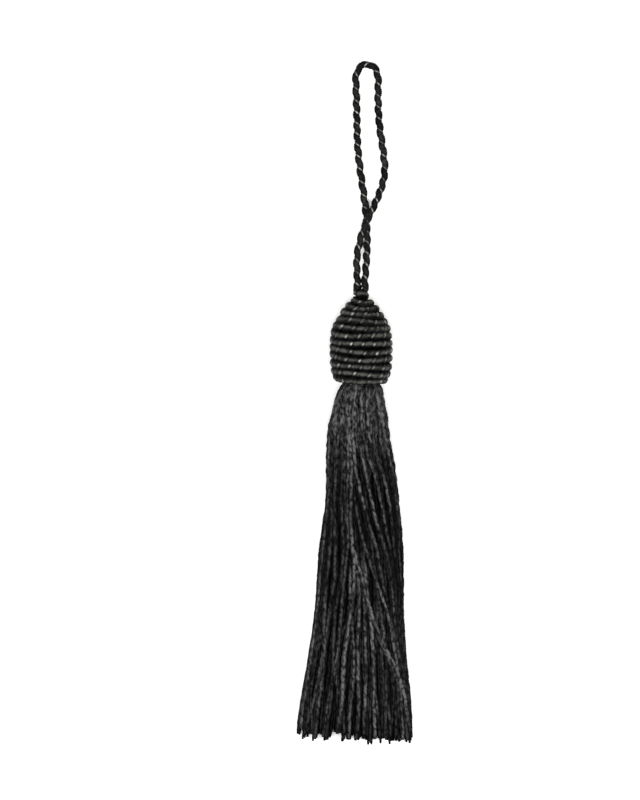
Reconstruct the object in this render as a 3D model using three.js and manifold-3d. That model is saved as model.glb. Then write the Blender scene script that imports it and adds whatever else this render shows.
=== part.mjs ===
import * as THREE from 'three';
import { mergeVertices } from 'three/addons/utils/BufferGeometryUtils.js';
import Module from 'manifold-3d';

// A black key tassel lying on its side: a head wound from twisted cord, a skirt of hanging threads,
// and a loop of the same cord to hang it by. Millimetres, +Z up. The length runs along Y with the loop
// towards +Y, and the origin is on the floor under the middle of the head and skirt.

const wasm = await Module();
wasm.setup();

// Driving sizes
const tasselLength = 127.6; // head and skirt, without the loop
const headTop = tasselLength / 2;
const headLength = 26.3;
const headRim = headTop - headLength;
const headAxis = { x: 2, z: 8 };
const pieceGap = 0.3; // clearance between separate pieces

// The wound head
const headTurns = 13;
const rowsPerTurn = 4;
const headSides = 28;
const grooveDepth = 0.55; // between one turn of cord and the next
const mouth = { radius: 5.6, depth: 3 }; // where the skirt is seated

// Radius over the crowns of the turns, by distance below the head's top
const headProfile = [
  { down: 0, radius: 2.25 },
  { down: 2.2, radius: 2.4 },
  { down: 4.2, radius: 4.1 },
  { down: 5.8, radius: 5.5 },
  { down: 7.6, radius: 6.7 },
  { down: 9.5, radius: 7.8 },
  { down: 11.8, radius: 8.5 },
  { down: 15.4, radius: 8.8 },
  { down: 19.6, radius: 8.8 },
  { down: 22.4, radius: 8.5 },
  { down: 24.6, radius: 7.9 },
  { down: headLength, radius: 7.1 },
];

// The skirt's bound top, by distance below the head's rim
const boundTop = [
  { down: pieceGap - mouth.depth, radius: mouth.radius - pieceGap },
  { down: 0.2, radius: mouth.radius - pieceGap },
  { down: 1.1, radius: 6.2 },
  { down: 1.7, radius: 6.3 },
];
const boundTopSides = 28;

// The skirt's sections below the head's rim: its left and right edges, its lowest and highest threads,
// and how round it still is, from 1 at the bound top to 0 where it lies on the floor
const skirtSections = [
  { down: 1, left: -4.2, right: 8.2, low: 1.8, top: 14.2, round: 1 },
  { down: 9, left: -6.6, right: 9.5, low: 0.7, top: 14.7, round: 0.9 },
  { down: 24, left: -8, right: 11.8, low: 0, top: 12.8, round: 0.35 },
  { down: 47, left: -10.1, right: 14.1, low: 0, top: 10.6, round: 0 },
  { down: 77, left: -13.2, right: 15.1, low: 0, top: 8.8, round: 0 },
  { down: tasselLength - headLength, left: -16.3, right: 16.3, low: 0, top: 7.4, round: 0 },
];
const spacingSection = skirtSections[3]; // the section where the strands are spread evenly
const strandSpacing = 1.06;
const strandFill = { width: 0.54, height: 0.72 }; // share of the spacing that a strand takes up
const locks = { count: 6, pull: 0.26 }; // strands gather into this many locks a layer
const tipSlant = 1.5; // how much shorter the left edge is cut than the right
const tipRagged = 2.4; // unevenness of the cut ends

// The hanging loop
const cordDiameter = 1.8;
const cordSides = 8;
const bindingLead = 3.45; // length of cord in one turn of its binding thread
const stepsPerLead = 4.5;
const bindingDepth = 0.22;

// The loop's middle line, from its left end at the head, over itself and round the tip, to its right end
const loopStart = headTop + pieceGap;
const loopRoute = [
  [0.9, loopStart, 8],
  [0.9, 66.8, 8],
  [0.8, 70, 7.4],
  [0.9, 73.4, 6.3],
  [1.5, 76.6, 5.3],
  [2.5, 80, 4.4],
  [3.9, 83.6, 3.7],
  [5.5, 87, 2.8],
  [7, 90.4, 1.8],
  [8.2, 94, 1.2],
  [8.7, 97.6, 1.1],
  [8.4, 101.6, 1.1],
  [7.8, 105.8, 1.1],
  [7.2, 110, 1.1],
  [6.9, 114.4, 1.1],
  [6.8, 119, 1.1],
  [6.8, 123.4, 1.1],
  [5.9, 126, 1.1],
  [3.7, 127.1, 1.1],
  [1.5, 126, 1.1],
  [0.6, 123.4, 1.1],
  [0.7, 119, 1.1],
  [0.8, 114.4, 1.1],
  [0.9, 110, 1.1],
  [1, 105.8, 1.1],
  [1.3, 101.6, 1.1],
  [1.8, 97.4, 1.1],
  [2.4, 93.2, 1.1],
  [3, 89, 1.1],
  [3.4, 85.2, 1.15],
  [3.6, 81.6, 1.4],
  [3.7, 78, 2.3],
  [3.6, 74.4, 4.3],
  [3.4, 70.6, 6.7],
  [3.1, 66.8, 8],
  [3.1, loopStart, 8],
];

const material = (name, color, roughness) =>
  new THREE.MeshStandardMaterial({ name, color, roughness, metalness: 0 });

function toSolid(geometry) {
  geometry.deleteAttribute('normal');
  geometry.deleteAttribute('uv');
  const merged = mergeVertices(geometry);
  const triangles = [];
  for (let k = 0; k < merged.index.count; k += 3) {
    const [a, b, c] = [0, 1, 2].map((corner) => merged.index.getX(k + corner));
    if (a !== b && b !== c && c !== a) triangles.push(a, b, c);
  }
  const vertProperties = Float32Array.from(merged.attributes.position.array);
  return new wasm.Manifold(
    new wasm.Mesh({ numProp: 3, vertProperties, triVerts: Uint32Array.from(triangles) }),
  );
}

function toMesh(name, solid, meshMaterial) {
  const { vertProperties, triVerts } = solid.getMesh();
  const geometry = new THREE.BufferGeometry();
  geometry.setAttribute('position', new THREE.BufferAttribute(vertProperties, 3));
  geometry.setIndex(new THREE.BufferAttribute(triVerts, 1));
  geometry.computeVertexNormals();
  const mesh = new THREE.Mesh(geometry, meshMaterial);
  mesh.name = name;
  return mesh;
}

// The wound head is a lathe whose rows run along the turns: each row drops by one turn on its way round.
function headGeometry() {
  const curve = new THREE.SplineCurve(
    headProfile.map(({ down, radius }) => new THREE.Vector2(radius, -down)),
  );
  const lastRow = headTurns * rowsPerTurn;
  const ceiling = mouth.depth - headLength;
  const outline = [
    new THREE.Vector2(0, ceiling),
    new THREE.Vector2(mouth.radius, ceiling),
    new THREE.Vector2(mouth.radius, -headLength),
  ];
  const firstWound = outline.length;
  for (let row = lastRow; row >= -rowsPerTurn; row -= 1) {
    outline.push(curve.getPointAt(THREE.MathUtils.clamp(row / lastRow, 0, 1)));
  }
  outline.push(new THREE.Vector2(0, 0));

  const geometry = new THREE.LatheGeometry(outline, headSides);
  const position = geometry.attributes.position;
  for (let side = 0; side <= headSides; side += 1) {
    const turn = side / headSides;
    const angle = turn * 2 * Math.PI;
    for (let row = lastRow; row >= -rowsPerTurn; row -= 1) {
      const along = THREE.MathUtils.clamp((row + turn * rowsPerTurn) / lastRow, 0, 1);
      const point = curve.getPointAt(along);
      const tangent = curve.getTangentAt(along);
      const crown = Math.abs(Math.sin(Math.PI * (along * headTurns - turn)));
      const sink = grooveDepth * (1 - crown);
      const radius = point.x + sink * tangent.y;
      const vertex = side * outline.length + firstWound + lastRow - row;
      const y = point.y - sink * tangent.x;
      position.setXYZ(vertex, radius * Math.sin(angle), y, radius * Math.cos(angle));
    }
  }

  geometry.translate(headAxis.x, headTop, headAxis.z);
  for (let vertex = 0; vertex < position.count; vertex += 1) {
    position.setZ(vertex, Math.max(0, position.getZ(vertex))); // the flat spot it lies on
  }
  return geometry;
}

// Where every strand lies: how far across the skirt, how high up in it, and how much its end is cut back
function strandPlaces() {
  const height = spacingSection.top - spacingSection.low;
  const width = spacingSection.right - spacingSection.left;
  const places = [];
  THREE.MathUtils.seededRandom(7);
  for (let layer = 0; (layer + 1) * strandSpacing < height; layer += 1) {
    const share = (layer * strandSpacing) / height;
    const reach = Math.sqrt(1 - share * share);
    const steps = Math.floor((reach * width) / strandSpacing) - 1;
    const inset = layer % 2 ? 0.5 : 0; // every other layer lies over the gaps of the one below
    for (let step = inset; step <= steps; step += 1) {
      const across = reach * ((2 * step) / steps - 1);
      const cut = (tipSlant * (1 - across)) / 2 + tipRagged * THREE.MathUtils.seededRandom();
      places.push({ layer, share, across, cut });
    }
  }
  const longest = Math.min(...places.map(({ cut }) => cut));
  return places.map((place) => ({ ...place, cut: place.cut - longest }));
}

// A strand is a three-sided prism whose base faces down, with one ring of corners on each section.
function strandGeometry({ layer, share, across, cut }) {
  const geometry = new THREE.CylinderGeometry(1, 1, 1, 3, skirtSections.length - 1);
  const position = geometry.attributes.position;
  const lastSection = skirtSections.length - 1;
  const spacingWidth = spacingSection.right - spacingSection.left;
  const spacingHeight = spacingSection.top - spacingSection.low;
  for (let vertex = 0; vertex < position.count; vertex += 1) {
    const index = Math.round((0.5 - position.getY(vertex)) * lastSection);
    const section = skirtSections[index];
    const width = section.right - section.left;
    const height = section.top - section.low;
    const halfStrand = (strandFill.width * strandSpacing * width) / spacingWidth / 2;
    const strandHeight = (strandFill.height * strandSpacing * height) / spacingHeight;

    const wave = locks.count * Math.PI * across + layer * 1.7 + index * 0.35;
    const gathered = across + (locks.pull * Math.sin(wave) * (1 - across * across)) / (locks.count * Math.PI);
    const middle = (section.left + section.right) / 2;
    const x = middle + gathered * (width / 2 - halfStrand);
    const flat = section.low + share * height;
    const rounded = flat + (height / 2) * (1 - Math.sqrt(1 - across * across));
    const z = THREE.MathUtils.lerp(flat, rounded, section.round);
    const y = headRim - section.down + (index === lastSection ? cut : 0);

    const sideways = position.getX(vertex) / Math.sin(Math.PI / 3);
    const upwards = (position.getZ(vertex) + 0.5) / 1.5;
    position.setXYZ(vertex, x + sideways * halfStrand, y, z + upwards * strandHeight);
  }
  return geometry;
}

function skirtSolid() {
  const first = boundTop[0];
  const last = boundTop[boundTop.length - 1];
  const outline = [new THREE.Vector2(0, -last.down)];
  for (const { down, radius } of boundTop.toReversed()) outline.push(new THREE.Vector2(radius, -down));
  outline.push(new THREE.Vector2(0, -first.down));
  const backing = new THREE.LatheGeometry(outline, boundTopSides);
  backing.translate(headAxis.x, headRim, headAxis.z);
  const strands = strandPlaces().map((place) => toSolid(strandGeometry(place)));
  return wasm.Manifold.union([toSolid(backing), ...strands]);
}

// The cord is a tube with the groove of its binding thread winding round it.
function loopGeometry() {
  const curve = new THREE.CatmullRomCurve3(loopRoute.map((point) => new THREE.Vector3(...point)));
  const length = curve.getLength();
  const steps = Math.round((length / bindingLead) * stepsPerLead);
  const frames = curve.computeFrenetFrames(steps);
  const geometry = new THREE.CylinderGeometry(1, 1, 1, cordSides, steps);
  const position = geometry.attributes.position;
  for (let vertex = 0; vertex < position.count; vertex += 1) {
    const step = Math.round((0.5 + position.getY(vertex)) * steps);
    const sideways = position.getX(vertex);
    const upwards = position.getZ(vertex);
    const angle = Math.atan2(sideways, upwards);
    const turns = (step / steps) * (length / bindingLead);
    const groove = ((1 + Math.cos(angle + 2 * Math.PI * turns)) / 2) ** 3;
    const radius = cordDiameter / 2 - bindingDepth * groove;
    const point = curve.getPointAt(step / steps);
    point.addScaledVector(frames.normals[step], radius * upwards);
    point.addScaledVector(frames.binormals[step], radius * sideways);
    position.setXYZ(vertex, point.x, point.y, point.z);
  }
  return geometry;
}

const tassel = new THREE.Group();
tassel.add(toMesh('head', toSolid(headGeometry()), material('wound cord', 0x1b1b1d, 0.6)));
tassel.add(toMesh('skirt', skirtSolid(), material('silk thread', 0x161618, 0.55)));
tassel.add(toMesh('hanging_loop', toSolid(loopGeometry()), material('twisted cord', 0x1b1b1d, 0.6)));

export default tassel;
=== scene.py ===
import math

import bpy
import numpy as np
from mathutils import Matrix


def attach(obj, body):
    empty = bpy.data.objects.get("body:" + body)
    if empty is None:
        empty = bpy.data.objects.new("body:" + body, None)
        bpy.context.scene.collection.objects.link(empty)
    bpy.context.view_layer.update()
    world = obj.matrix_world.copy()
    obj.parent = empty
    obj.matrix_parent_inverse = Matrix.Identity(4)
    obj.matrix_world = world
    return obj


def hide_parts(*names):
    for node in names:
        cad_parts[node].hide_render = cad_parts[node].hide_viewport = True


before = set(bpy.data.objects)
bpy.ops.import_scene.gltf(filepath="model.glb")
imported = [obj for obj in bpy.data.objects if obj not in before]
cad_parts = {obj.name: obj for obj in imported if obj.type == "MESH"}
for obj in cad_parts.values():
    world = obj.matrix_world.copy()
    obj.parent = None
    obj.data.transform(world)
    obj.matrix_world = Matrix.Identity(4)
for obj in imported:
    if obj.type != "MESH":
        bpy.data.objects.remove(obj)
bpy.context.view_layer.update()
mm = 0.001
fullTurn = 2 * math.pi
print("frame loaded, nodes:", ", ".join(sorted(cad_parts)))

# Camera: straight above the tassel, sizes in mm
viewSettings = {
    "lens": 300.0,
    "sensor": 36.0,
    "frameHeight": 224.0,  # what the picture takes in from top to bottom
    "aim": (-9.5, 32.8, 8.0),
    "clipStart": 10.0,
}


def setCamera():
    distance = viewSettings["lens"] * viewSettings["frameHeight"] / viewSettings["sensor"]
    x, y, z = viewSettings["aim"]
    bpy.ops.object.camera_add(location=(x * mm, y * mm, (z + distance) * mm), rotation=(0, 0, 0))
    camera = bpy.context.object
    camera.name = "camera"
    camera.data.lens = viewSettings["lens"]
    camera.data.sensor_width = viewSettings["sensor"]
    camera.data.clip_start = viewSettings["clipStart"] * mm
    bpy.context.scene.camera = camera


setCamera()
print("camera set")


# Array helpers, all sizes in mm until a mesh is made
def unit(vectors):
    return vectors / np.linalg.norm(vectors, axis=-1, keepdims=True)


def sideAngles(sides):
    return fullTurn * np.arange(sides) / sides


# Running length of each path; paths is (paths, steps, 3)
def lengthAlong(paths):
    steps = np.linalg.norm(np.diff(paths, axis=1), axis=-1)
    return np.concatenate([np.zeros((len(paths), 1)), np.cumsum(steps, axis=1)], axis=1)


# The columns of a table, read at other places along it
def readAt(places, along, table):
    return np.stack([np.interp(places, along, column) for column in table.T], axis=1)


# A value from a short table of (place, value) rows
def readRows(places, rows):
    return np.interp(places, *np.transpose(rows))


# A smooth curve through the points, cut into even steps
def smoothLine(points, spacing, perSpan=24):
    points = np.asarray(points, float)
    ends = np.vstack([2 * points[0] - points[1], points, 2 * points[-1] - points[-2]])
    t = np.linspace(0, 1, perSpan, endpoint=False)[:, None]
    spans = []
    for a, b, c, d in zip(ends, ends[1:], ends[2:], ends[3:]):
        bend = (2 * a - 5 * b + 4 * c - d) * t**2 + (3 * b - a - 3 * c + d) * t**3
        spans.append(0.5 * (2 * b + (c - a) * t + bend))
    fine = np.vstack(spans + [points[-1:]])
    along = lengthAlong(fine[None])[0]
    even = np.linspace(0, along[-1], int(along[-1] / spacing) + 2)
    return readAt(even, along, fine)


# Two directions square to each path, the first as near to up as it can be
def ringDirections(paths, up):
    tangent = unit(np.gradient(paths, axis=1))
    across = unit(np.cross(tangent, up))
    return np.cross(across, tangent), across


# Tubes along many paths in one mesh: how far they clear the floor, in mm, and how much of its own row
# each fills on the map for baking
tubeSettings = {"floorGap": 0.02, "rowShare": 0.9}


# The tubes' own map: u counts turns round a tube and its twist, v is mm along it
def twistMap(paths, sides, turns):
    u = np.broadcast_to(turns, paths.shape[:2])[..., None] + np.arange(sides) / sides
    v = np.broadcast_to(lengthAlong(paths)[..., None], u.shape)
    side = 1 / sides
    return [(u[:, :-1], v[:, :-1]), (u[:, :-1] + side, v[:, :-1]),
            (u[:, 1:] + side, v[:, 1:]), (u[:, 1:], v[:, 1:])]


# A second map lays each tube out flat in rows of its own, so that a bake has room for every face
def bakeMap(paths, sides, girth):
    count, steps = paths.shape[:2]
    rows = max(1, round(math.sqrt(lengthAlong(paths)[:, -1].mean() / (count * girth))))
    perRow = -(-(steps - 1) // rows)
    step = np.arange(steps - 1)[:, None]
    side = np.arange(sides) * tubeSettings["rowShare"] / sides
    row = (np.arange(count)[:, None, None] * rows + step // perRow + side) / (count * rows)
    column = np.broadcast_to(step % perRow / perRow, row.shape)
    nextRow = row + tubeSettings["rowShare"] / (sides * count * rows)
    nextColumn = column + 1 / perRow
    return [(column, row), (column, nextRow), (nextColumn, nextRow), (nextColumn, row)]


# Adds a map from the four corners of every quad; the corners of the end caps all lie at its origin
def addMap(mesh, name, corners, capCorners):
    uv = np.stack([np.stack(corner, axis=-1) for corner in corners], axis=-2)
    uv = np.concatenate([uv.reshape(-1, 2), np.zeros((capCorners, 2))])
    mesh.uv_layers.new(name=name).data.foreach_set("uv", uv.astype(np.float32).ravel())


def tubeMesh(name, paths, up, radii, sides, turns, tone, material):
    # paths is (tubes, steps, 3), radii and tone fit (tubes, steps, sides), turns fits (tubes, steps)
    count, steps = paths.shape[:2]
    raised, across = ringDirections(paths, up)
    angle = sideAngles(sides)
    ring = raised[:, :, None] * np.cos(angle)[:, None] + across[:, :, None] * np.sin(angle)[:, None]
    verts = paths[:, :, None] + np.broadcast_to(radii, (count, steps, sides))[..., None] * ring
    verts[..., 2] = np.maximum(verts[..., 2], tubeSettings["floorGap"])  # nothing sinks into the floor

    index = np.arange(count * steps * sides).reshape(count, steps, sides)
    nextSide = np.roll(index, -1, axis=2)
    quads = np.stack([index[:, :-1], nextSide[:, :-1], nextSide[:, 1:], index[:, 1:]], axis=-1)
    caps = np.concatenate([index[:, 0, ::-1], index[:, -1]])
    loops = np.concatenate([quads.ravel(), caps.ravel()])
    starts = np.concatenate([4 * np.arange(quads.size // 4), quads.size + sides * np.arange(len(caps))])

    mesh = bpy.data.meshes.new(name)
    mesh.vertices.add(index.size)
    mesh.vertices.foreach_set("co", (verts * mm).astype(np.float32).ravel())
    mesh.loops.add(loops.size)
    mesh.loops.foreach_set("vertex_index", loops.astype(np.int32))
    mesh.polygons.add(len(starts))
    mesh.polygons.foreach_set("loop_start", starts.astype(np.int32))
    addMap(mesh, "UVMap", twistMap(paths, sides, turns), caps.size)
    addMap(mesh, "OFBake", bakeMap(paths, sides, fullTurn * np.mean(radii)), caps.size)
    # tone: the painted light and shade of each point, which the materials read
    toneLayer = mesh.attributes.new("tone", "FLOAT", "POINT")
    toneLayer.data.foreach_set("value", np.broadcast_to(tone, index.shape).astype(np.float32).ravel())
    mesh.polygons.foreach_set("use_smooth", np.ones(len(starts), bool))
    mesh.update()
    mesh.validate()
    mesh.materials.append(material)
    piece = bpy.data.objects.new(name, mesh)
    bpy.context.scene.collection.objects.link(piece)
    print(name, "made,", sum(len(p.vertices) - 2 for p in mesh.polygons), "triangles")
    return piece


# Every piece rides on the one body and stands for one of its nodes
def seat(piece, node):
    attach(piece, "root")
    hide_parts(node)


# Materials: colours are sRGB hex values, made linear here
def linearColour(code):
    parts = [int(code[k:k + 2], 16) / 255 for k in (1, 3, 5)]
    return tuple(p / 12.92 if p <= 0.04045 else ((p + 0.055) / 1.055) ** 2.4 for p in parts) + (1.0,)


def addNode(tree, kind, inputs=None, **settings):
    node = tree.nodes.new(kind)
    for key, value in settings.items():
        setattr(node, key, value)
    for key, value in (inputs or {}).items():
        if isinstance(value, bpy.types.NodeSocket):
            tree.links.new(value, node.inputs[key])
        else:
            node.inputs[key].default_value = value
    return node


def newMaterial(name):
    material = bpy.data.materials.new(name)
    material.use_nodes = True
    material.node_tree.nodes.clear()
    return material, material.node_tree


def finishMaterial(tree, shader):
    addNode(tree, "ShaderNodeOutputMaterial", {"Surface": shader.outputs["BSDF"]})


# A ridge over each ply of a yarn from its own map: 1 on top of a ply, 0 in the groove between two
def plyRidge(tree, plies, turnsPerMm=0.0):
    uv = addNode(tree, "ShaderNodeUVMap", uv_map="UVMap")
    axes = addNode(tree, "ShaderNodeSeparateXYZ", {0: uv.outputs["UV"]})
    around = addNode(tree, "ShaderNodeMath",
                     {0: axes.outputs["X"], 1: math.pi * plies}, operation="MULTIPLY")
    turned = addNode(tree, "ShaderNodeMath",
                     {0: axes.outputs["Y"], 1: math.pi * plies * turnsPerMm, 2: around.outputs[0]},
                     operation="MULTIPLY_ADD")
    wave = addNode(tree, "ShaderNodeMath", {0: turned.outputs[0]}, operation="COSINE")
    return addNode(tree, "ShaderNodeMath", {0: wave.outputs[0]}, operation="ABSOLUTE").outputs[0]


# Dull and bright patches of a yarn, as many to a mm as its settings say
def yarnPatches(tree, settings):
    place = addNode(tree, "ShaderNodeTexCoord")
    perMetre = [count / mm for count in settings["patchesPerMm"]]
    scaled = addNode(tree, "ShaderNodeVectorMath",
                     {0: place.outputs["Object"], 1: perMetre}, operation="MULTIPLY")
    noise = addNode(tree, "ShaderNodeTexNoise",
                    {"Vector": scaled.outputs[0], "Scale": 1.0, "Detail": settings["patchDetail"]})
    return noise.outputs["Fac"]


# The painted light and shade that a yarn's mesh carries as its tone, broken up by its patches
def yarnShine(tree, settings, patches):
    tone = addNode(tree, "ShaderNodeAttribute", attribute_name="tone")
    spread = addNode(tree, "ShaderNodeMapRange", {"Value": patches, **settings["patchShine"]})
    shine = addNode(tree, "ShaderNodeMath",
                    {0: tone.outputs["Fac"], 1: spread.outputs[0]}, operation="MULTIPLY")
    return shine.outputs[0]


# Dark to light by a yarn's painted shine, with its ridges as bump
def finishYarn(tree, settings, shine, ridges, linked=None):
    colour = addNode(tree, "ShaderNodeMix",  # inputs 6 and 7 are its two colours, output 2 the mixed one
                     {0: shine, 6: linearColour(settings["dark"]), 7: linearColour(settings["light"])},
                     data_type="RGBA")
    bump = addNode(tree, "ShaderNodeBump",
                   {"Height": ridges, "Strength": settings["bump"], "Distance": settings["relief"] * mm})
    shader = addNode(tree, "ShaderNodeBsdfPrincipled",
                     {"Base Color": colour.outputs[2], "Normal": bump.outputs["Normal"],
                      **settings["shader"], **(linked or {})})
    finishMaterial(tree, shader)


# Black spun silk: a near-black two-ply yarn with a soft, patchy sheen painted into its colour, with
# painted shade in the grooves between its plies; each thread's tone carries most of that painted sheen, so
# the gloss is low
silkSettings = {
    "dark": "#020203",
    "light": "#515152",
    "shader": {"IOR": 1.54, "Specular IOR Level": 0.018},
    "plies": 2,
    # painted shade in the grooves between the plies, full tone on top of each ply
    "paintedGrooveShade": {"From Min": 0.1, "From Max": 0.8, "To Min": 0.65, "To Max": 1.0},
    "fibres": 9,  # round the thread, far coarser than real ones, so that they show
    "bump": 0.6,
    "relief": 0.03,  # mm
    "patchesPerMm": (1.1, 0.7, 1.1),  # each is about 0.9 mm wide and 1.4 mm long
    "patchDetail": 1.0,
    "patchShine": {"From Min": 0.38, "From Max": 0.62, "To Min": 0.2, "To Max": 1.55},
    "patchRoughness": {"From Min": 0.36, "From Max": 0.64, "To Min": 0.6, "To Max": 0.4},
}


def silkThread():
    material, tree = newMaterial("silk_thread_spun")
    patches = yarnPatches(tree, silkSettings)
    ridge = plyRidge(tree, silkSettings["plies"])
    # Painted shade in the grooves between the plies
    onPlies = addNode(tree, "ShaderNodeMapRange", {"Value": ridge, **silkSettings["paintedGrooveShade"]})
    patchShine = yarnShine(tree, silkSettings, patches)
    shine = addNode(tree, "ShaderNodeMath", {0: patchShine, 1: onPlies.outputs[0]}, operation="MULTIPLY")
    rough = addNode(tree, "ShaderNodeMapRange", {"Value": patches, **silkSettings["patchRoughness"]})
    fibres = plyRidge(tree, silkSettings["fibres"])
    finishYarn(tree, silkSettings, shine.outputs[0], fibres, {"Roughness": rough.outputs[0]})
    return material


# Soft black cord, twisted: dull, with fine fibres laid along its twist, and a painted highlight that makes
# it pale only on top of its turns
cordSettings = {
    "dark": "#040405",
    "light": "#41413e",
    "shader": {"Roughness": 0.65, "IOR": 1.54, "Specular IOR Level": 0.03},
    "fibres": 9,  # round the cord, far coarser than real ones, so that they show
    "bump": 0.6,
    "relief": 0.05,  # mm
    "patchesPerMm": (1.1, 1.1, 1.1),  # each is about 0.9 mm across
    "patchDetail": 1.0,
    "patchShine": {"From Min": 0.36, "From Max": 0.64, "To Min": 0.35, "To Max": 1.45},
}


def twistedCord():
    material, tree = newMaterial("silk_cord_twisted")
    shine = yarnShine(tree, cordSettings, yarnPatches(tree, cordSettings))
    finishYarn(tree, cordSettings, shine, plyRidge(tree, cordSettings["fibres"]))
    return material


# Metallised binding thread: a thin pale silver-gold foil yarn with painted glints where it lies on top,
# painted near black elsewhere
foilSettings = {
    "dark": "#080808",
    "light": "#a9a8a2",
    "shader": {"Metallic": 1.0, "Roughness": 0.55},
    "plies": 1,
    "turnsPerMm": 1.2,  # of the foil round its thread
    "bump": 0.7,
    "relief": 0.03,  # mm
    "patchesPerMm": (0.42, 0.42, 0.42),  # each is about 2.4 mm across
    "patchDetail": 0.0,
    "patchShine": {"From Min": 0.3, "From Max": 0.7, "To Min": 0.6, "To Max": 1.2},
}


def foilThread():
    material, tree = newMaterial("metallised_thread_foil")
    shine = yarnShine(tree, foilSettings, yarnPatches(tree, foilSettings))
    ridges = plyRidge(tree, foilSettings["plies"], foilSettings["turnsPerMm"])
    finishYarn(tree, foilSettings, shine, ridges)
    return material


threadMaterial = silkThread()
cordMaterial = twistedCord()
foilMaterial = foilThread()
print("materials made")

# The cord that loop and head share, sizes in mm: a soft black core that bulges between the turns of a
# metallised thread, which is wound tightly round it
cord = {
    "lead": 3.45,  # from one turn of the binding to the next
    "drift": (4.6, 7.9),  # slow waves by which its turns come closer or lie further apart
    "sides": 24,
    "foilSides": 8,
    "baseShine": 0.03,
    "seed": 6,
}


def cordWithBinding(name, path, up, form):
    up = np.broadcast_to(up, path.shape)[None]
    path = path[None]
    along = lengthAlong(path)
    drift = sum(np.sin(along / wave + k) for k, wave in enumerate(cord["drift"]))
    turns = along / cord["lead"] + form["uneven"] * drift
    twist = fullTurn * turns[..., None]
    angle = sideAngles(cord["sides"])
    facing = np.cos(angle + twist)  # 1 where the binding lies, -1 opposite it
    bound = (1 + facing) / 2
    radii = form["radius"] - form["notch"] * bound**3 - form["sway"] * facing

    paintedCrest = np.clip(np.cos(angle), 0, 1) ** form["paintedCrest"]  # painted highlight: the silk is paler on top of each turn
    paintedCrest = paintedCrest * (1 - form["paintedPinchShade"] * bound**2)  # and painted shade darkens it beside the binding
    around = (angle + math.pi) % fullTurn / fullTurn
    bulge = np.floor(turns[..., None] + around - 0.5).astype(int)
    before = 2  # bulges are counted from a little before the first turn
    rng = np.random.default_rng(cord["seed"])
    varied = rng.uniform(1 - form["vary"], 1 + form["vary"], (2, bulge.max() + before + 1))
    bulgeShine, glintShine = varied  # the painted highlight of each bulge and the painted glint of each turn vary at random
    # Painted light and shade of the cord: a little everywhere, and the painted highlight on each crest
    tone = form["shine"] * (cord["baseShine"] + paintedCrest * bulgeShine[bulge + before])
    core = tubeMesh(name, path, up, radii, cord["sides"], turns, tone, cordMaterial)

    raised, across = ringDirections(path, up)
    out = raised * np.cos(twist) - across * np.sin(twist)
    foil = path + (form["radius"] - form["notch"] - form["sway"]) * out
    # Painted glint: the binding is pale only where it lies on top of the cord, near black elsewhere
    paintedGlint = form["paintedGlint"] * np.clip(np.cos(twist), 0, 1) ** form["dot"]
    paintedGlint = np.clip(paintedGlint * glintShine[np.round(turns).astype(int) + before][..., None], 0, 1)
    binding = tubeMesh(name + "_binding", foil, out, form["foilRadius"], cord["foilSides"],
                       0, paintedGlint, foilMaterial)
    return core, binding


# Hanging loop, sizes in mm: the route starts at the head, crosses itself and ends at the head
loopSettings = {
    "diameter": 1.8,
    "form": {
        "radius": 1.04,
        "notch": 0.48,  # how deep the binding cuts in
        "sway": 0.06,  # how far the core leans away from it
        "foilRadius": 0.3,
        "paintedCrest": 2,  # the higher, the narrower the painted highlight on top
        # how bright the painted highlight is
        "shine": 0.17,
        "paintedPinchShade": 0.5,  # painted shade beside the binding
        "dot": 2,  # the higher, the smaller the binding's painted glints
        # how bright the painted glints are
        "paintedGlint": 0.4,
        "uneven": 0.14,  # drift of the binding, in turns
        "vary": 0.7,  # how unlike each other the painted highlights of bulges and glints are
    },
    "step": 0.22,
    "intoHead": 1.5,
    "route": [
        (0.9, 64.1, 8), (0.9, 66.8, 8), (0.8, 70, 7.4), (0.9, 73.4, 6.3), (1.5, 76.6, 5.3),
        (2.5, 80, 4.4), (3.9, 83.6, 3.7), (5.5, 87, 2.8), (7, 90.4, 1.8), (8.2, 94, 1.2),
        (8.7, 97.6, 1.1), (8.4, 101.6, 1.1), (7.8, 105.8, 1.1), (7.2, 110, 1.1),
        (6.9, 114.4, 1.1), (6.8, 119, 1.1), (6.8, 123.4, 1.1),
        (5.9, 126, 1.1), (3.7, 127.1, 1.1), (1.5, 126, 1.1), (0.6, 123.4, 1.1), (0.7, 119, 1.1),
        (0.8, 114.4, 1.1), (0.9, 110, 1.1), (1, 105.8, 1.1), (1.3, 101.6, 1.1), (1.8, 97.4, 1.1),
        (2.4, 93.2, 1.1), (3, 89, 1.1), (3.4, 85.2, 1.15), (3.6, 81.6, 1.4), (3.7, 78, 2.3),
        (3.6, 74.4, 4.3), (3.4, 70.6, 6.7), (3.1, 66.8, 8), (3.1, 64.1, 8),
    ],
}


def makeLoop():
    route = np.array(loopSettings["route"])
    inside = np.array((0, loopSettings["intoHead"], 0))
    path = smoothLine(np.vstack([route[0] - inside, route, route[-1] - inside]), loopSettings["step"])
    loop, binding = cordWithBinding("hanging_loop_cord", path, (0, 0, 1), loopSettings["form"])
    seat(loop, "hanging_loop")
    seat(binding, "hanging_loop")


makeLoop()

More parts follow.
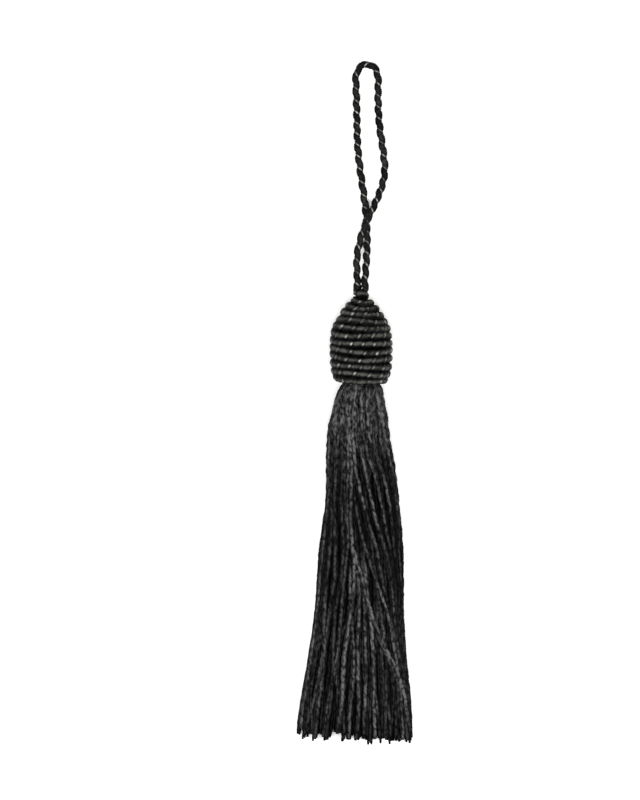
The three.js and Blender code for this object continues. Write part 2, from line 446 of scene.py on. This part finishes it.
# Head: cord wound in a beehive, sizes in mm
headSettings = {
    "top": 63.8,
    "axis": (2.0, 8.0),  # x and z of its middle line
    "turns": 13,
    "stepsPerTurn": 160,
    "step": 0.3,
    "lean": 0.12,  # the upper side of each turn lies a little lower than its under side
    "wavy": 0.17,  # how far the turns stray up and down
    "wavesPerTurn": (1.85, 2.3),
    # Same keys as the loop's form: narrower, brighter painted highlights on the turns and smaller painted
    # glints
    "form": {
        "radius": 1.13,
        "notch": 0.24,
        "sway": 0.05,
        "foilRadius": 0.43,
        "paintedCrest": 16,
        "shine": 1.05,
        "paintedPinchShade": 0.7,
        "dot": 26,
        "paintedGlint": 0.7,
        "uneven": 0.16,
        "vary": 0.45,
    },
    "profileStep": 0.05,
    "profile": [
        # down from the top, out from the axis
        (0, 2.25), (2.2, 2.4), (4.2, 4.1), (5.8, 5.5), (7.6, 6.7), (9.5, 7.8), (11.8, 8.5), (15.4, 8.8),
        (19.6, 8.8), (22.4, 8.5), (24.6, 7.9), (26.3, 7.1),
    ],
}


def headProfile():
    line = smoothLine(headSettings["profile"], headSettings["profileStep"])
    tangent = unit(np.gradient(line, axis=0))
    normal = np.stack([-tangent[:, 1], tangent[:, 0]], axis=1)  # (down, outwards)
    share = np.linspace(0, 1, len(line))
    return share, line, normal


def makeHead():
    share, line, normal = headProfile()
    turns = headSettings["turns"]
    turn = np.linspace(-0.5, turns - 0.5, turns * headSettings["stepsPerTurn"])
    where = (turn + 0.5) / turns
    down, out = readAt(where, share, line - headSettings["form"]["radius"] * normal).T
    normalDown, normalOut = readAt(where, share, normal).T
    phi = fullTurn * turn
    sine, cosine = np.sin(phi), np.cos(phi)
    axisX, axisZ = headSettings["axis"]
    path = np.stack([axisX + out * sine, headSettings["top"] - down, axisZ + out * cosine], axis=1)
    up = np.stack([normalOut * sine, -normalDown, normalOut * cosine], axis=1)

    path[:, 1] -= headSettings["lean"] * (path[:, 2] - axisZ)
    waves = sum(np.sin(rate * phi + k) for k, rate in enumerate(headSettings["wavesPerTurn"]))
    path[:, 1] += headSettings["wavy"] * waves

    along = lengthAlong(path[None])[0]
    even = np.arange(0, along[-1], headSettings["step"])
    path = readAt(even, along, path)
    up = unit(readAt(even, along, up))
    winding, binding = cordWithBinding("head_winding", path, up, headSettings["form"])
    seat(winding, "head")
    seat(binding, "head")


makeHead()

# Skirt below the head's rim, sizes in mm
skirtSettings = {
    "rim": 37.5,
    "start": -2.2,  # the threads begin in the head's mouth
    "sectionStep": 0.25,
    "sections": [
        # down, left, right, low, top, round
        (-2.5, -3.1, 7.1, 2.9, 13.1, 1.0),
        (0, -3.2, 7.2, 2.8, 13.2, 1.0),
        (1.7, -4.3, 8.2, 1.8, 14.2, 1.0),
        (4.8, -5.5, 8.8, 1.2, 14.6, 0.97),
        (9, -6.6, 9.5, 0.7, 14.7, 0.9),
        (15, -7.7, 10.2, 0.3, 14.2, 0.7),
        (24, -8.0, 11.8, 0.05, 12.8, 0.35),
        (33, -8.2, 12.9, 0.0, 11.8, 0.12),
        (47, -10.1, 14.1, 0.0, 10.6, 0.0),
        (63, -11.2, 14.3, 0.0, 9.6, 0.0),
        (77, -13.2, 15.1, 0.0, 8.8, 0.0),
        (89, -15.3, 16.4, 0.0, 8.0, 0.0),
        (102, -17.2, 17.1, 0.0, 7.3, 0.0),
    ],
    "edge": 0.985,  # no thread lies further out, as a share of half the width
    "wanderShare": (0.4, 1),  # of its full size, for each wave of a wandering thread
    "evenSteps": 0.4,  # share of a thread's steps that are even, the rest grow towards its tip
    "tipDown": 98.8,
    "tipSlant": 1.1,
    "tipRagged": 0.8,  # from tuft to tuft, a third of it from thread to thread
    "tipStray": 1.8,  # how much longer a stray thread is
    "strayShare": 0.04,
    "tipLimits": (-2.0, 2.6),
}


def sectionAt(down):
    table = smoothLine(skirtSettings["sections"], skirtSettings["sectionStep"])
    return [np.interp(down, table[:, 0], column) for column in table[:, 1:].T]


# Places a thread's points: across runs from -1 to 1, height from 0 on the floor to 1 on top
def skirtPoints(down, across, height, radius):
    left, right, low, top, rounded = sectionAt(down)
    middle, half = (left + right) / 2, (right - left) / 2 - radius
    tall = top - low - 2 * radius
    across = np.clip(across, -1, 1)
    cover = np.sqrt(1 - across**2)
    share = height * cover
    z = low + radius + tall * (share + rounded * (1 - cover) / 2)
    return np.stack([middle + across * half, skirtSettings["rim"] - down, z], axis=-1)


# Slow waves of these lengths down the skirt, no two threads alike
def wander(rng, count, down, waves, size):
    total = np.zeros((count,) + down.shape[-1:])
    for wave in waves:
        phase = rng.uniform(0, fullTurn, (count, 1))
        share = rng.uniform(*skirtSettings["wanderShare"], (count, 1))
        total = total + size * share * np.sin(fullTurn * down / wave + phase)
    return total


# Thread points from root to tip, closer together near the root, where the crimp is strongest
def threadDowns(rng, tipAcross, tuft, steps):
    ragged = rng.normal(0, skirtSettings["tipRagged"], tuft.max() + 1)[tuft]
    ragged = ragged + rng.normal(0, skirtSettings["tipRagged"] / 3, len(tuft))
    stray = rng.uniform(0, 1, len(tuft)) < skirtSettings["strayShare"]
    ragged = np.clip(ragged + skirtSettings["tipStray"] * stray, *skirtSettings["tipLimits"])
    tips = skirtSettings["tipDown"] + skirtSettings["tipSlant"] * tipAcross + ragged
    step = np.linspace(0, 1, steps)
    place = skirtSettings["evenSteps"] * step + (1 - skirtSettings["evenSteps"]) * step**2
    return skirtSettings["start"] + (tips[:, None] - skirtSettings["start"]) * place


# One silk thread, sizes in mm: tables are rows of mm below the rim and the value there, pairs are the
# lowest and highest value from thread to thread
threadSettings = {
    "radius": 0.48,
    "plumpness": (0.85, 1.15),
    "groove": 0.2,  # depth between its two plies, as a share of the radius
    "tipTaper": ((0, 0.7), (1.2, 1)),  # mm above the cut end, share of the radius
    "twistLead": 3.6,
    "leadVary": (0.85, 1.2),
    "twistDrift": ((5.3, 8.7, 15), 0.16),  # lengths of its waves, and their size in turns
    "crimp": 0.13,
    "crimpFade": ((0, 0.3), (3, 1.0), (16, 0.9), (34, 0.45), (100, 0.35)),
    "crimpWaves": ((2.6, 0.45), (4.3, 0.8), (9.0, 1.0)),  # length, share of the crimp
    "crimpVary": (0.8, 1.25),
    "paintedRootShine": ((1, 0.3), (4, 1), (10, 0.85), (18, 0.32), (30, 0)),  # painted highlight where the skirt bends over below the head
    "rootVary": (0.35, 0.75),
    "paintedOpenShine": ((50, 0), (75, 0.12), (100, 0.14)),  # painted light where the locks open
    # painted shade down the skirt: darker in its middle and towards the cut ends
    "paintedShading": ((30, 1), (42, 0.75), (60, 0.72), (75, 0.94), (90, 0.79), (100, 0.4)),
    "stretches": ((13, 19, 31), 0.36),  # lengths of the waves in which its painted sheen rises and fades, and their size
    "stretchLimits": (0.2, 1.7),
    "paintedFlankShine": 0.15,  # share of its painted highlight that a thread keeps on its flanks, which are painted in shade
}


def crimped(rng, paths, down):
    fade = readRows(down, threadSettings["crimpFade"])
    for axis in (0, 2):
        for length, share in threadSettings["crimpWaves"]:
            wave = length * rng.uniform(*threadSettings["crimpVary"], (len(paths), 1))
            phase = rng.uniform(0, fullTurn, (len(paths), 1))
            swing = np.sin(fullTurn * down / wave + phase)
            paths[..., axis] += threadSettings["crimp"] * share * fade * swing
    return paths


# Painted light and shade of each point of a thread down its length, from the painted tone of its lock
def threadShade(rng, down, tone):
    single = (len(down), 1)
    rooted = readRows(down, threadSettings["paintedRootShine"]) * rng.uniform(*threadSettings["rootVary"], single)
    opened = readRows(down, threadSettings["paintedOpenShine"]) * rng.uniform(0, 1, single)
    paintedShading = np.clip(tone + rooted * (1 - tone) + opened, 0, 1)
    paintedShading = paintedShading * readRows(down, threadSettings["paintedShading"])
    stretches = wander(rng, len(down), down, *threadSettings["stretches"])
    return paintedShading * np.clip(1 + stretches, *threadSettings["stretchLimits"])


def threadPiece(name, rng, down, across, height, sides, tone, plump=1.0):
    count, radius = len(down), threadSettings["radius"]
    paths = crimped(rng, skirtPoints(down, across, height, radius), down)
    lead = threadSettings["twistLead"] * rng.uniform(*threadSettings["leadVary"], (count, 1))
    turns = lengthAlong(paths) / lead + rng.uniform(0, 1, (count, 1))
    turns = turns + wander(rng, count, down, *threadSettings["twistDrift"])  # no two twists are alike
    lobes = np.abs(np.cos(fullTurn * (turns[..., None] + np.arange(sides) / sides)))
    groove = threadSettings["groove"]
    size = radius * plump * rng.uniform(*threadSettings["plumpness"], (count, 1, 1))
    size = size * (1 - groove + groove * lobes)
    size = size * readRows(down[:, -1:] - down, threadSettings["tipTaper"])[..., None]

    paintedShading = threadShade(rng, down, tone)
    angle = sideAngles(sides)
    outwards = np.sqrt(1 - across**2)[..., None] * np.cos(angle) - across[..., None] * np.sin(angle)
    lit = np.clip(np.maximum(np.cos(angle), outwards), 0, 1) ** 2  # painted highlight on top, and outwards at the sides
    paintedCrest = threadSettings["paintedFlankShine"] + (1 - threadSettings["paintedFlankShine"]) * lit
    piece = tubeMesh(name, paths, (0, 0, 1), size, sides, turns, paintedShading[..., None] * paintedCrest, threadMaterial)
    seat(piece, "skirt")


# How the threads of a lock lie round its middle line, sizes in mm
lockSettings = {
    "lineStep": 0.2,
    "turnVary": 0.35,  # unevenness round the lock, in radians
    "turnDrift": 0.006,  # winding round the lock, in radians to a mm
    "reach": (0.6, 1),  # share of the lock's spread
    "threadWander": ((17, 41), 0.08),  # lengths of the waves, and their size
    "lockWander": ((33, 71), 0.42),
    "wanderFull": 30.0,  # a lock strays less above this level
    "halves": (30, 55),  # from the first level to the second its upper half changes to its lower one
}


def lockThreads(rng, guide, depths, threads, steps, spreadRows):
    down = threadDowns(rng, np.full(threads, guide[-1][1]), np.zeros(threads, int), steps)
    left, right, low, top = sectionAt(down)[:4]
    line = smoothLine(guide, lockSettings["lineStep"])
    spread = readRows(down, spreadRows)
    turn = fullTurn * np.arange(threads)[:, None] / threads - math.pi / 2  # the first lies on top
    turn = turn + rng.normal(0, lockSettings["turnVary"], (threads, 1))
    turn = turn + rng.normal(0, lockSettings["turnDrift"], (threads, 1)) * down
    reach = rng.uniform(*lockSettings["reach"], (threads, 1)) * spread
    sideways = reach * np.cos(turn) + wander(rng, threads, down, *lockSettings["threadWander"])
    lockWander = wander(rng, 1, down, *lockSettings["lockWander"])
    sideways = sideways + lockWander * np.clip(down / lockSettings["wanderFull"], 0, 1)
    across = np.interp(down, line[:, 0], line[:, 1]) + sideways / ((right - left) / 2)
    depth = np.interp(down, lockSettings["halves"], depths)
    height = 1 - (depth + spread + reach * np.sin(turn)) / (top - low)
    return down, np.clip(across, -skirtSettings["edge"], skirtSettings["edge"]), height


# Body of the skirt: threads spread evenly through its section, gathered into locks, sizes in mm
bodySettings = {
    "threads": 150,
    "locks": 40,
    "steps": 90,
    "sides": 6,
    "seed": 9,
    "evenSpread": (0.618034, 0.754878),  # from one thread to the next, across and up
    "halfSection": (16.0, 7.4),  # half width and height by which the nearest lock is found
    "pull": ((0, 0.0), (15, 0.15), (45, 0.3), (80, 0.25), (100, 0.15)),  # towards the lock's middle
    "wander": ((21, 47), 0.012),
    "height": 0.75,  # share of the skirt's height, the rest is left to the locks
    # painted sheen, hardly any this deep inside
    "tones": (0, 0.03),
}


def makeBody():
    threads = bodySettings["threads"]
    rng = np.random.default_rng(bodySettings["seed"])
    order = np.arange(4 * threads)  # more than enough, those outside the skirt's arch drop out
    stepAcross, stepUp = bodySettings["evenSpread"]
    spread = np.stack([2 * (order * stepAcross % 1) - 1, order * stepUp % 1], axis=1)
    seeds = spread[spread[:, 1] <= np.sqrt(1 - spread[:, 0]**2)][:threads]
    centres = seeds[rng.choice(threads, bodySettings["locks"], replace=False)]
    apart = (seeds[:, None] - centres[None]) * np.array(bodySettings["halfSection"])
    nearest = np.argmin(np.linalg.norm(apart, axis=-1), axis=1)
    down = threadDowns(rng, seeds[:, 0], nearest, bodySettings["steps"])
    pull = readRows(down, bodySettings["pull"])
    across = seeds[:, :1] * (1 - pull) + centres[nearest][:, :1] * pull
    share = seeds[:, 1:] * (1 - pull) + centres[nearest][:, 1:] * pull
    across = across + wander(rng, threads, down, *bodySettings["wander"])
    across = np.clip(across, -skirtSettings["edge"], skirtSettings["edge"])
    height = np.clip(share / np.sqrt(1 - across**2), 0, 1) * bodySettings["height"]
    tone = rng.uniform(*bodySettings["tones"], (threads, 1))
    threadPiece("skirt_body", rng, down, across, height, bodySettings["sides"], tone)


# Two layers of evenly spread locks over the body, sizes in mm; depths are under the top of the skirt,
# in a lock's upper and in its lower half
evenLockSettings = {
    "levels": (4, 25, 50, 75, 97),
    "edge": 0.98,  # the outermost locks, as a share of half the width
    "stray": 0.05,
    "strayShares": (0.2, 0.7, 1, 1, 0.8),  # at each level
    "spread": ((0, 0.8), (12, 0.7), (35, 0.55), (60, 0.6), (100, 1.0)),
    "inside": ((45, 0.15), (75, 1)),  # painted shade: the upper half, under the top locks, is darker
    "flank": ((0.75, 0), (0.92, 1)),  # but for the skirt's sides, which keep their painted sheen
    # A layer's tones give how much painted sheen its threads get, less the deeper it lies
    "layers": {
        "skirt_locks_low": {
            "seed": 21, "locks": 25, "perLock": 2, "steps": 200, "sides": 7,
            "depths": (2.4, 2.2), "tones": (0.0, 0.03),
        },
        "skirt_locks_mid": {
            "seed": 34, "locks": 23, "perLock": 1, "steps": 300, "sides": 9,
            "depths": (1.3, 1.2), "tones": (0.0, 0.25),
        },
    },
}


def makeEvenLocks(name, layer):
    rng = np.random.default_rng(layer["seed"])
    levels = np.array(evenLockSettings["levels"], float)
    edge = evenLockSettings["edge"]
    parts = []
    for k in range(layer["locks"]):
        start = -edge + 2 * edge * k / (layer["locks"] - 1)
        stray = rng.normal(0, evenLockSettings["stray"], len(levels))
        guide = np.stack([levels, start + stray * np.array(evenLockSettings["strayShares"])], axis=1)
        parts.append(lockThreads(rng, guide, layer["depths"], layer["perLock"], layer["steps"],
                                 evenLockSettings["spread"]))
    down, across, height = (np.concatenate(part) for part in zip(*parts))
    flank = readRows(np.abs(across), evenLockSettings["flank"])
    inside = readRows(down, evenLockSettings["inside"])
    tone = rng.uniform(*layer["tones"], (len(down), 1)) * np.maximum(inside, flank)
    threadPiece(name, rng, down, across, height, layer["sides"], tone)


# Locks on top, of three threads each, sizes in mm. The first layer's locks lie on top in the skirt's
# upper half, and the second's come out from under them in its lower half. A row gives how far a lock
# lies across the tassel at each level, how deep it lies under the top of the skirt in its upper and in
# its lower half, and how brightly it is painted as lit in each, a painted highlight
topLockSettings = {
    "steps": 330,
    "sides": 9,
    "spread": ((0, 0.7), (12, 0.65), (35, 0.55), (60, 0.55), (100, 0.9)),
    "plump": (1.15, 0.95, 0.95),
    "upperTones": (0.56, 0.04, 0.03),  # painted light: the first thread is painted lit, those beside it painted in shade, nearly black
    "lowerTones": (0.65, 0.06, 0.2),
    "toneVary": (0.85, 1.15),
    "paintedDeepShade": ((0.3, 1), (1.1, 0.2)),  # painted shade: a lock is darker where it lies deep
    "levels": (4, 16, 33, 47, 64, 80, 97),
    "layers": {
        "skirt_locks_upper": {"seed": 5, "locks": [
            ((-5.0, -7.1, -7.4, -9.2, -10.3, -12.7, -15.2), (0.0, 0.0), (0.9, 1.2)),
            ((-4.2, -5.3, -4.8, -5.0, -6.7, -9.5, -12.6), (0.6, 0.6), (0.6, 0.75)),
            ((-2.2, -2.0, -2.0, -2.2, -3.6, -6.2, -9.0), (0.45, 0.5), (1.0, 0.75)),
            ((-0.8, -1.1, -0.8, -0.6, -1.0, -2.8, -4.2), (0.3, 0.0), (1.0, 1.4)),
            ((-0.3, -0.4, 2.1, 5.9, 9.5, 12.0, 13.4), (0.1, 0.6), (1.2, 0.5)),
            ((0.3, 1.3, 5.3, 8.7, 11.5, 13.7, 15.2), (0.0, 0.8), (1.3, 0.9)),
            ((2.2, 3.2, 7.7, 10.6, 12.9, 14.3, 15.6), (0.1, 1.0), (0.9, 0.5)),
            ((3.9, 5.0, 10.1, 12.3, 13.6, 14.6, 15.3), (0.2, 1.2), (0.7, 0.35)),
            ((7.3, 9.2, 12.4, 13.6, 13.9, 14.7, 15.8), (0.0, 0.7), (0.7, 0.3)),
        ]},
        "skirt_locks_lower": {"seed": 8, "locks": [
            ((-3.1, -3.1, -2.8, -0.5, 4.8, 11.8, 15.8), (1.0, 0.0), (0.9, 1.5)),
            ((-1.4, -1.4, 0.6, 3.9, 9.5, 13.2, 14.8), (1.2, 0.0), (1.2, 1.1)),
            ((1.1, 0.6, 0.6, 1.1, 1.7, 1.3, 0.6), (2.6, 0.3), (1.2, 1.1)),
            ((2.8, 2.2, 1.7, 2.8, 4.5, 6.0, 6.7), (2.6, 0.3), (1.0, 1.4)),
            ((4.5, 3.6, 3.6, 5.0, 7.3, 8.7, 9.0), (1.2, 0.5), (1.0, 0.55)),
            ((-4.8, -6.4, -6.4, -7.3, -7.8, -9.0, -10.9), (1.0, 0.0), (0.4, 0.5)),
            ((-2.8, -3.6, -3.6, -3.6, -4.5, -5.9, -7.4), (1.0, 0.2), (0.8, 0.35)),
            ((-1.8, -1.9, -1.6, -1.4, -0.6, -0.9, -1.8), (4.0, 0.2), (1.1, 1.1)),
            ((1.9, 1.5, 1.2, 2.0, 3.2, 3.5, 3.6), (4.0, 0.2), (1.0, 0.8)),
        ]},
    },
}


def makeTopLocks(name, layer):
    rng = np.random.default_rng(layer["seed"])
    perLock = len(topLockSettings["plump"])
    levels = np.array(topLockSettings["levels"], float)
    left, right = sectionAt(levels)[:2]
    places, depths, shines = zip(*layer["locks"])
    parts = []
    for row, rowDepths in zip(places, depths):
        guide = np.stack([levels, (np.array(row) - (left + right) / 2) / ((right - left) / 2)], axis=1)
        parts.append(lockThreads(rng, guide, rowDepths, perLock, topLockSettings["steps"],
                                 topLockSettings["spread"]))
    down, across, height = (np.concatenate(part) for part in zip(*parts))

    start, end = lockSettings["halves"]
    lower = np.clip((down - start) / (end - start), 0, 1)
    halves = (np.repeat(pairs, perLock, axis=0) for pairs in (depths, shines))
    depth, shine = (half[:, :1] * (1 - lower) + half[:, 1:] * lower for half in halves)
    upperTone, lowerTone, plump = (np.tile(topLockSettings[key], len(places))[:, None]
                                   for key in ("upperTones", "lowerTones", "plump"))
    tone = (upperTone * (1 - lower) + lowerTone * lower) * shine
    tone = tone * rng.uniform(*topLockSettings["toneVary"], (len(down), 1))
    tone = tone * readRows(depth, topLockSettings["paintedDeepShade"])
    threadPiece(name, rng, down, across, height, topLockSettings["sides"], tone, plump[..., None])


makeBody()
for layerName, layerSettings in evenLockSettings["layers"].items():
    makeEvenLocks(layerName, layerSettings)
for layerName, layerSettings in topLockSettings["layers"].items():
    makeTopLocks(layerName, layerSettings)
print("skirt made")

# Plain pale floor and one soft strip of light overhead, sizes in metres
stageSettings = {
    "floorSize": 3.0,
    "floorColour": "#f4f4f3",
    "floorRoughness": 0.9,
    "worldStrength": 0.12,
    "stripPlace": (0, -0.05, 0.9),
    "stripSize": (1.4, 0.16),
    "stripWatts": 20.0,
}


def makeFloor():
    bpy.ops.mesh.primitive_plane_add(size=stageSettings["floorSize"], location=(0, 0, 0))
    floor = bpy.context.object
    floor.name = "floor"
    material, tree = newMaterial("paper_floor_white")
    shader = addNode(tree, "ShaderNodeBsdfPrincipled",
                     {"Base Color": linearColour(stageSettings["floorColour"]),
                      "Roughness": stageSettings["floorRoughness"]})
    finishMaterial(tree, shader)
    floor.data.materials.append(material)


def makeLight():
    world = bpy.data.worlds.new("studio")
    world.use_nodes = True
    background = world.node_tree.nodes["Background"]
    background.inputs["Color"].default_value = (1, 1, 1, 1)
    background.inputs["Strength"].default_value = stageSettings["worldStrength"]
    bpy.context.scene.world = world
    bpy.ops.object.light_add(type="AREA", location=stageSettings["stripPlace"], rotation=(0, 0, 0))
    strip = bpy.context.object
    strip.name = "softbox_strip"
    strip.data.shape = "RECTANGLE"
    strip.data.size, strip.data.size_y = stageSettings["stripSize"]
    strip.data.energy = stageSettings["stripWatts"]
    bpy.context.scene.view_settings.view_transform = "Standard"


makeFloor()
makeLight()
print("stage made")
